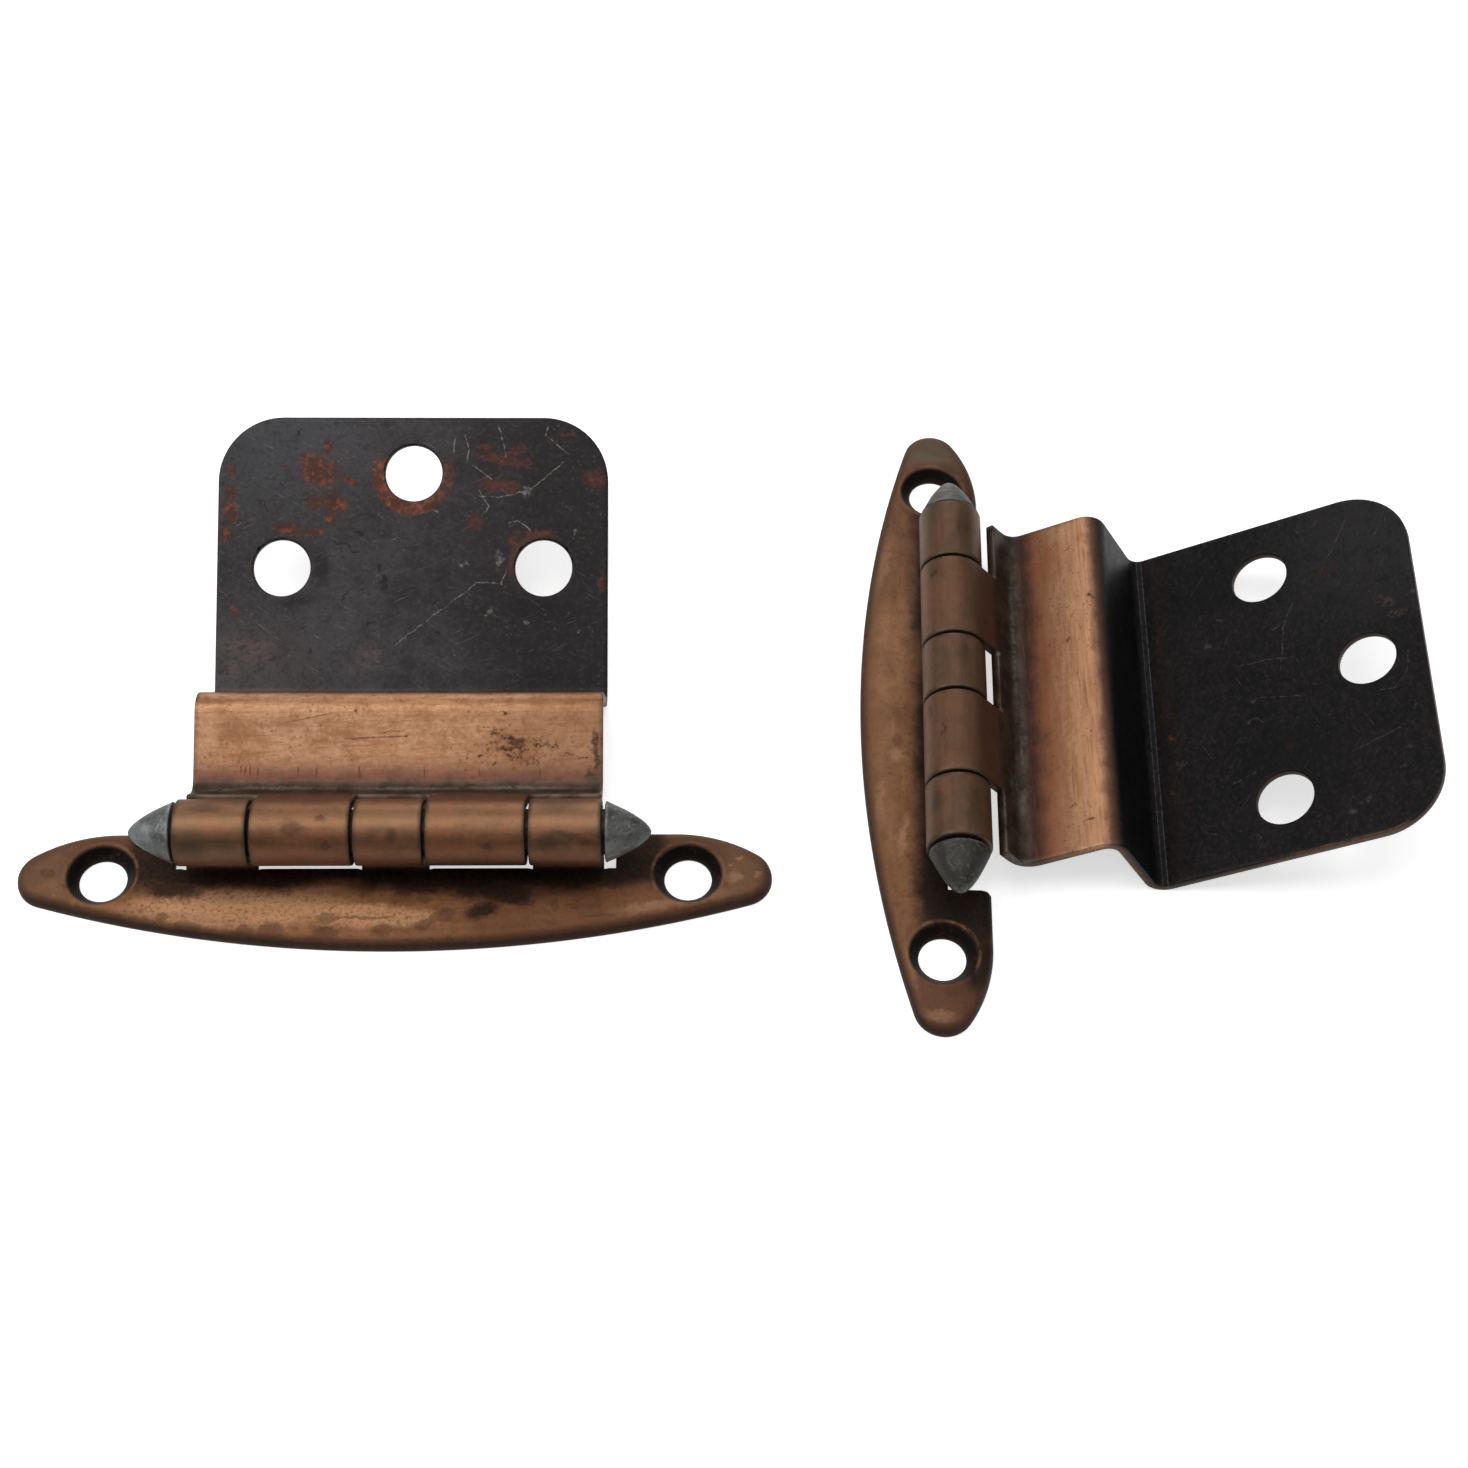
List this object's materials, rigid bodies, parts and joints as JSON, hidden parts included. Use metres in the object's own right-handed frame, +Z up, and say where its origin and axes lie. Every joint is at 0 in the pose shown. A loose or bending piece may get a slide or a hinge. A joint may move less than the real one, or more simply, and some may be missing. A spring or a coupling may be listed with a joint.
{
  "type": "pair of inset cabinet hinges",
  "caption": "Pair of knuckle hinges for 3/8 inch inset cabinet doors: boat-shaped frame leaf, stepped door leaf, pin with bullet finials.",
  "frame": {"origin": "on the table, under the middle of the pair's bounding box", "axes": "+Z up from the table, +X along the left hinge's pin towards the right hinge, +Y towards the left hinge's door leaf"},
  "size_m": [0.1316, 0.0698, 0.0143],
  "materials": {
    "frame_leaf_copper": "worn antique copper plating on steel",
    "door_leaf_copper": "dark oxidised copper plating with a rubbed band",
    "pin_steel": "plain steel",
    "finial_zinc": "dull grey zinc"
  },
  "bodies": {
    "pair_base": {"left_frame_leaf": "frame_leaf_copper", "left_pin": "pin_steel", "left_upper_finial": "finial_zinc", "left_lower_finial": "finial_zinc", "right_frame_leaf": "frame_leaf_copper", "right_pin": "pin_steel", "right_upper_finial": "finial_zinc", "right_lower_finial": "finial_zinc"},
    "left_door_side": {"left_door_leaf": "door_leaf_copper"},
    "right_door_side": {"right_door_leaf": "door_leaf_copper"}
  },
  "joints": [
    {"name": "left_hinge", "type": "hinge", "parent": "pair_base", "child": "left_door_side", "pos_m": [-0.03084, -0.01729, 0.00675], "axis": [1, 0, 0], "range_deg": [-29.65, 150.35]},
    {"name": "right_hinge", "type": "hinge", "parent": "pair_base", "child": "right_door_side", "pos_m": [0.02166, -0.00004, 0.00675], "axis": [-0.0297, -0.9996, 0], "range_deg": [-29.65, 150.35]}
  ]
}
